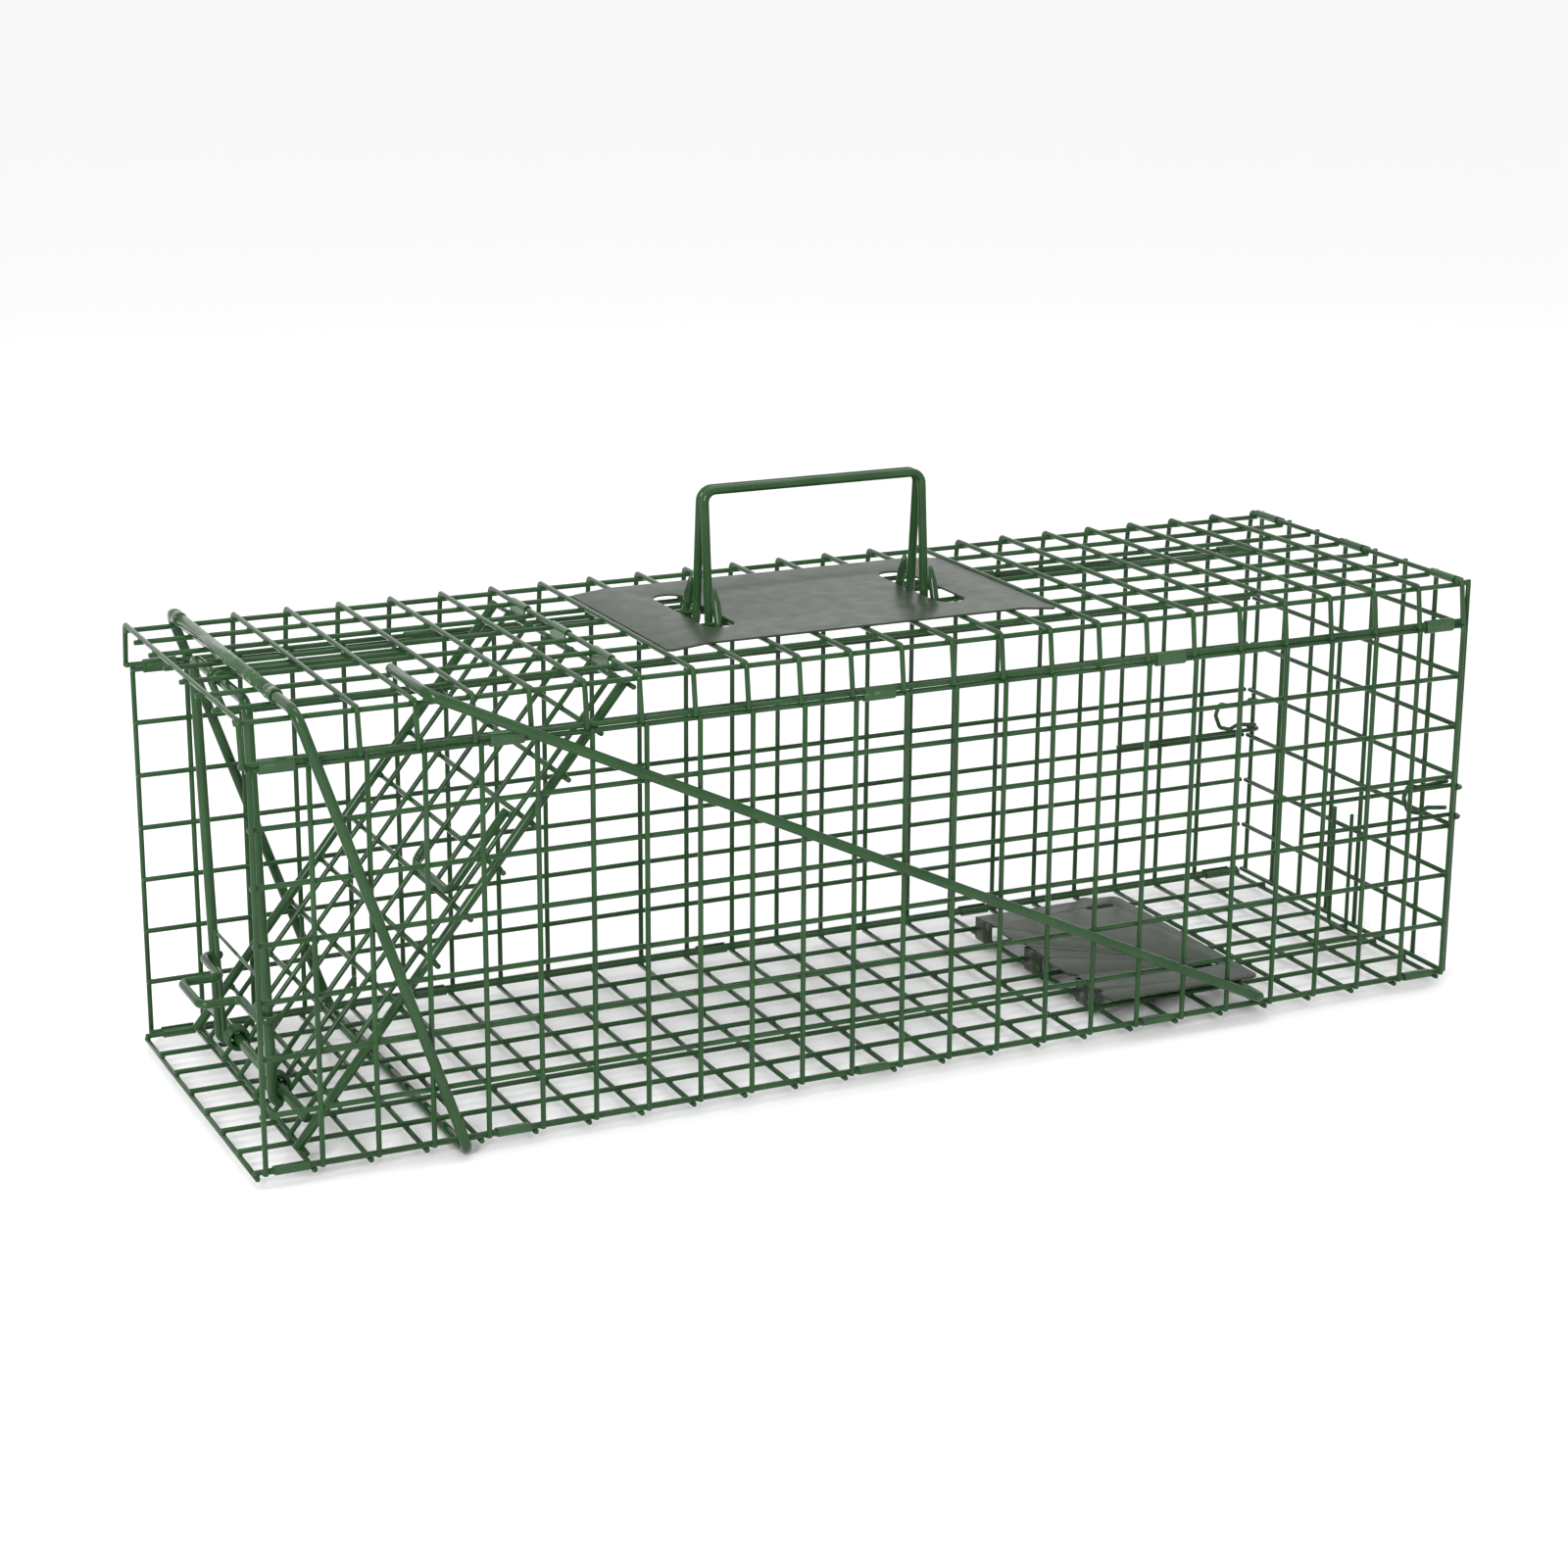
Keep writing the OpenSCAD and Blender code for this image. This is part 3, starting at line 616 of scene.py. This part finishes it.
def brace_sleeve():
    """The tube on the brace's top bar and the two grooved rings that keep it in place."""
    bore, lip = 2.45, 0.2
    tube_y, tube_len, gap = 29, 137, 0.2
    bm = bmesh.new()
    r, long = 3.0, tube_len
    lathe(bm, tube_y, [(0, bore), (0, r - lip), (lip, r), (long - lip, r), (long, r - lip), (long, bore)])
    piece("brace_tube", "brace", clip_paint, bm, ["brace_sleeve"])
    bm = bmesh.new()
    r, long = 3.35, 10.0
    ring = [(0, bore), (0, r - 0.35), (0.4, r), (2.2, r), (2.8, r - 0.2), (long - 2.8, r - 0.2)]
    ring += [(long - 2.2, r), (long - 0.4, r), (long, r - 0.35), (long, bore)]
    lathe(bm, tube_y - long - gap, ring)
    lathe(bm, tube_y + tube_len + gap, ring)
    piece("brace_end_rings", "brace", clip_paint, bm, ["brace_collars"])


# ---------------------------------------------------------------- trigger, treadle, guard plate

def trigger_rod():
    """The long rod on the near side: over the top in front, in under the treadle at the back."""
    bm = bmesh.new()
    out = -8.6
    top_x, top_z = 80, 210.4
    foot_x, foot_z = 503, 10.9
    points = [(top_x, 41, top_z), (top_x, out, top_z), (foot_x, out, foot_z), (foot_x, 58, foot_z)]
    sweep(bm, rounded(points, 7), ROD_R, sides=ROD_SIDES)
    piece("trigger_rod_bent", "trigger", rod_paint, bm, ["trigger_rod"])


def plate(bm, outline, holes, z, thick):
    """A flat sheet with holes, built from a filled curve so that its edges are rounded."""
    curve = bpy.data.curves.new("sheet_outline", "CURVE")
    curve.dimensions = "2D"
    curve.fill_mode = "BOTH"
    edge = 0.22
    curve.bevel_depth = edge * MM
    curve.bevel_resolution = 2
    curve.offset = -edge * MM
    curve.extrude = (thick / 2 - edge) * MM
    for loop in [outline] + holes:
        spline = curve.splines.new("POLY")
        spline.points.add(len(loop) - 1)
        for point, p in zip(spline.points, loop):
            place = spot((p[0], p[1], 0))
            point.co = (place.x, place.y, 0, 1)
        spline.use_cyclic_u = True
    obj = bpy.data.objects.new("sheet_outline", curve)
    bpy.context.collection.objects.link(obj)
    obj.location.z = (z + thick / 2) * MM
    bpy.context.view_layer.update()
    mesh = bpy.data.meshes.new_from_object(obj.evaluated_get(bpy.context.evaluated_depsgraph_get()))
    mesh.transform(obj.matrix_world)
    bm.from_mesh(mesh)
    bpy.data.objects.remove(obj)
    bpy.data.curves.remove(curve)
    bpy.data.meshes.remove(mesh)
    bmesh.ops.remove_doubles(bm, verts=bm.verts, dist=0.00001)


def slot_loop(x, y, w, length, along_x):
    """The outline of a round-ended slot."""
    straight = (length - w) / 2
    loop = []
    for k in range(32):
        a = 2 * math.pi * (k + 0.5) / 32
        shift = straight if math.cos(a) > 0 else -straight
        p = (shift + math.cos(a) * w / 2, math.sin(a) * w / 2)
        loop.append((x + p[0], y + p[1]) if along_x else (x - p[1], y + p[0]))
    return loop


def treadle():
    """The plate, with three tabs curled round a cross wire of the floor."""
    bm = bmesh.new()
    wire_x = 17 * PITCH
    z, thick = 13.7, 1.0
    y0, y1, x1 = 12, 148, 514
    half_tab, notch = 8.0, 3.2
    notch_out = half_tab + notch + 0.2
    mid_r = WIRE_R + SHEET_GAP + thick / 2
    edge_x = wire_x - mid_r - thick / 2 + 0.05
    front_x = wire_x - 0.6
    lug_x, lug_r = 496, 4
    outline = rounded([(edge_x, y0, 0), (x1, y0, 0), (x1, y1, 0), (lug_x + lug_r, y1, 0)], 5)
    outline += arc((lug_x, y1, 0), (lug_r, 0, 0), math.pi, (0, 1, 0))
    outline.append(Vector((edge_x, y1, 0)))
    for j in (5, 3, 1):
        y = (j + 0.5) * PITCH
        if j != 5:
            outline += arc((edge_x, y + notch_out, 0), (0, notch, 0), math.pi, (1, 0, 0))
        outline += [Vector((front_x, y + half_tab, 0)), Vector((front_x, y - half_tab, 0))]
        outline += arc((edge_x, y - notch_out, 0), (0, notch, 0), math.pi, (1, 0, 0))
    outline = [(p.x, p.y) for p in outline]
    slots = [slot_loop(497, 36, 4.6, 16, True), slot_loop(496.5, 135, 4.6, 16, True)]
    plate(bm, outline, slots, z, thick)
    for j in (1, 3, 5):
        y = (j + 0.5) * PITCH - half_tab
        centre = Vector((wire_x, 0, FLOOR_CROSS_Z))
        top = Vector((front_x + 0.4, 0, z + thick / 2))
        corner = Vector((wire_x - mid_r, 0, z + thick / 2))
        down = centre + Vector((-mid_r, 0, 0))
        profile = rounded([top, corner, down], 0.9)
        profile += arc(centre, (-mid_r, 0, 0), math.radians(180), (0, 0, -1))[1:]
        strip(bm, profile, (0, 1, 0), y, 2 * half_tab, thick)
    piece("treadle_plate", "treadle", sheet_paint, bm, ["treadle"])


def guard_plate():
    """The plate under the handle, its two ends sloping down a little."""
    bm = bmesh.new()
    x0, x1, y0, y1 = 206, 403.6, 30.4, 147.4
    z, drop, ramp = TOP_CROSS_Z + WIRE_R + 0.1, 1.8, 20
    corners = [(x0, y0, 0), (x1, y0, 0), (x1, y1, 0), (x0, y1, 0)]
    outline = [(p.x, p.y) for p in rounded(corners, 3, closed=True)]
    slots = [slot_loop(x, MID_Y, 15.5, 70, False) for x in (243.6, 362.6)]
    plate(bm, outline, slots, z, 1.0)
    for x in (x0 + ramp, x1 - ramp):
        for shift in (-2, 0, 2):
            geom = bm.verts[:] + bm.edges[:] + bm.faces[:]
            at = spot((x + shift, 0, 0))
            bmesh.ops.bisect_plane(bm, geom=geom, plane_co=at, plane_no=(1, 0, 0))
    for v in bm.verts:
        x = v.co.x / MM - ORIGIN.x
        deep = max(x0 + ramp - x, x - (x1 - ramp), 0)
        soft = deep * deep / (2 * 4) if deep < 4 else deep - 2
        v.co.z -= min(drop, drop * soft / (ramp - 2)) * MM
    piece("guard_sheet", "cage", sheet_paint, bm, ["guard_plate"])


# ---------------------------------------------------------------- handles, latches, prongs

def handle(name, turn, nodes, body):
    """One rod of the handle: a grip, two legs hooked under a top wire, and two pointed ends."""
    bm = bmesh.new()
    pivot_y = 3 * PITCH
    hook_r = 5.6
    grip_z = 265
    reach_y, reach_z = MID_Y - 2.2 - pivot_y, grip_z - TOP_LONG_Z
    span = math.hypot(reach_y, reach_z)
    lean = math.atan2(reach_y, reach_z) - math.asin(hook_r / span)
    back = math.radians(18)
    foot = Vector((0, hook_r * math.cos(lean), -hook_r * math.sin(lean)))
    up = Vector((0, math.sin(lean), math.cos(lean)))
    legs, feet = [], []
    for x in (248.4, 360.5):
        centre = Vector((x, pivot_y, TOP_LONG_Z))
        hook = arc(centre, foot, lean - back - math.pi, up)
        tip = hook[-1] + Vector((0, math.sin(back), math.cos(back))) * 16.3
        legs.append([tip] + hook[::-1])
        feet.append(centre + foot)
    high = up * math.sqrt(span ** 2 - hook_r ** 2)
    grip = rounded([feet[0], feet[0] + high, feet[1] + high, feet[1]], 5.5)
    path = legs[0] + grip[1:-1] + legs[1][::-1]
    sweep(bm, [turn(p) for p in path], HANDLE_R, sides=ROD_SIDES, taper=7.0)
    piece(name, body, rod_paint, bm, nodes)


def rear_latch(name, node, turn):
    """Two long wires hooked round the rear door's edge, with a bow that joins them."""
    bm = bmesh.new()
    hook_x = REAR_X + LAYER - 0.4
    y, low, high, wire = 2.8, 87.3, 102.4, 1.1
    for z in (low, high):
        hook = arc((hook_x, 0, z), (0, y, 0), -math.pi, (-1, 0, 0))
        path = [Vector((528, y, z))] + hook + [Vector((hook_x - 1.1, -y, z))]
        sweep(bm, [turn(p) for p in path], wire)
    bow = [(614, 104.2), (596, 103.0), (590.4, 104.6), (588.0, 98.6)]
    bow += [(591, 91.4), (597.5, 89.6), (602.5, 91.8), (614, 90.4)]
    bow = rounded([Vector((x, y + 1.9, z)) for x, z in bow], [3, 2, 2.5, 3, 3, 3])
    sweep(bm, [turn(p) for p in bow], wire)
    piece(name, "rear_door", wire_paint, bm, [node])


def floor_prongs():
    """Two upright wires in front of the rear door, one of them bent along the floor."""
    bm = bmesh.new()
    x, z, high = 600, FLOOR_LONG_Z + WIRE_R + 1.13, 72.5
    sweep(bm, rounded([(554, 55, z), (x, 55, z), (x, 77.5, z), (x, 77.5, high)], 3), 1.1)
    sweep(bm, [(x, 62.5, z), (x, 62.5, high)], 1.0)
    for y in (55, 62.5):
        nugget(bm, (x, y, z), 1.2, 1.1)
    piece("floor_stop", "cage", wire_paint, bm, ["floor_prongs"])


floor_panel()
side_panel("mesh_side_near", "side_panel_near", Vector)
side_panel("mesh_side_far", "side_panel_far", far)
top_panel()
rear_door()
near_cells, far_cells = [0, 4, 11, 17, 23], [0, 5, 11, 17, 23]
top_pair = ((-SIDE_OUT, FLANGE_LOW_Z), (-SIDE_OUT, SIDE_HIGH_Z))
floor_pair = ((0, FLOOR_LONG_Z), (-SIDE_OUT, SIDE_LOW_Z))
seam_clips("clips_top_near", "seam_clips_top_near", *top_pair, near_cells, False)
seam_clips("clips_top_far", "seam_clips_top_far", *top_pair, far_cells, True)
seam_clips("clips_floor_near", "seam_clips_floor_near", *floor_pair, near_cells, False)
seam_clips("clips_floor_far", "seam_clips_floor_far", *floor_pair, far_cells, True)
door_pair = ((7 * PITCH, TOP_CROSS_Z), (DOOR_X, DOOR_Z))
rear_pair = ((LENGTH, TOP_CROSS_Z), (REAR_X, REAR_TOP_Z))
hinge_clips("clips_door_hinge", "door_hinge_clips", *door_pair, [(j + 0.5) * PITCH for j in (1, 3, 5)])
hinge_clips("clips_rear_hinge", "rear_hinge_clips", *rear_pair, [(j + 0.5) * PITCH for j in (0, 3, 6)])
front_door()
catch_loop()
spring("door_spring_near", "spring_near", Vector)
spring("door_spring_far", "spring_far", far)
lock_frame()
lock_pull()
lock_hanger()
brace_hoop()
brace_sleeve()
trigger_rod()
treadle()
guard_plate()
handle("carry_handle_near", Vector, ["handle_near_grip", "handle_near_legs"], "handle_near")
handle("carry_handle_far", far, ["handle_far_grip", "handle_far_legs"], "handle_far")
rear_latch("latch_near", "rear_latch_near", Vector)
rear_latch("latch_far", "rear_latch_far", far)
floor_prongs()


# ---------------------------------------------------------------- studio

def studio_floor():
    mesh = bpy.data.meshes.new("studio_floor")
    reach = 60.0
    corners = [(-reach, -reach, 0), (reach, -reach, 0), (reach, reach, 0), (-reach, reach, 0)]
    mesh.from_pydata(corners, [], [(0, 1, 2, 3)])
    obj = bpy.data.objects.new("studio_floor", mesh)
    obj.location.z = -0.0003
    bpy.context.collection.objects.link(obj)
    mat = bpy.data.materials.new("studio_white")
    mat.use_nodes = True
    shader = mat.node_tree.nodes["Principled BSDF"]
    shader.inputs["Base Color"].default_value = (0.93, 0.93, 0.93, 1)
    shader.inputs["Roughness"].default_value = 0.6
    mesh.materials.append(mat)


def soft_light(name, place, aim, size, power):
    light = bpy.data.lights.new(name, "AREA")
    light.shape = "RECTANGLE"
    light.size, light.size_y = size
    light.energy = power
    obj = bpy.data.objects.new(name, light)
    obj.location = place
    obj.rotation_euler = (Vector(aim) - Vector(place)).to_track_quat("-Z", "Y").to_euler()
    bpy.context.collection.objects.link(obj)


def studio():
    world = bpy.data.worlds.new("studio")
    world.use_nodes = True
    world.node_tree.nodes["Background"].inputs["Color"].default_value = (1, 1, 1, 1)
    world.node_tree.nodes["Background"].inputs["Strength"].default_value = 1.0
    bpy.context.scene.world = world
    bpy.context.scene.view_settings.view_transform = "Standard"
    middle = (0, 0, 0.1)
    soft_light("over", (0.0, -0.1, 1.6), middle, (1.2, 0.5), 7)
    soft_light("behind", (0.5, 1.9, 0.9), middle, (2.2, 0.5), 2)
    soft_light("near_left", (-1.4, -1.5, 1.0), middle, (0.45, 0.9), 34)


CAMERA_PLACE = (-345.7, -1236.0, 556.9)
CAMERA_TURN = -24.45
CAMERA_DIP = 16.23
CAMERA_LENS = 74.0
CAMERA_SHIFT = (0.0416, -0.0124)


def camera():
    cam = bpy.data.cameras.new("view")
    cam.sensor_width = 36
    cam.lens = CAMERA_LENS
    cam.shift_x, cam.shift_y = CAMERA_SHIFT
    cam.clip_end = 50
    obj = bpy.data.objects.new("view", cam)
    obj.location = spot(CAMERA_PLACE)
    obj.rotation_euler = (math.radians(90 - CAMERA_DIP), 0, math.radians(CAMERA_TURN))
    bpy.context.collection.objects.link(obj)
    bpy.context.scene.camera = obj


studio_floor()
studio()
camera()
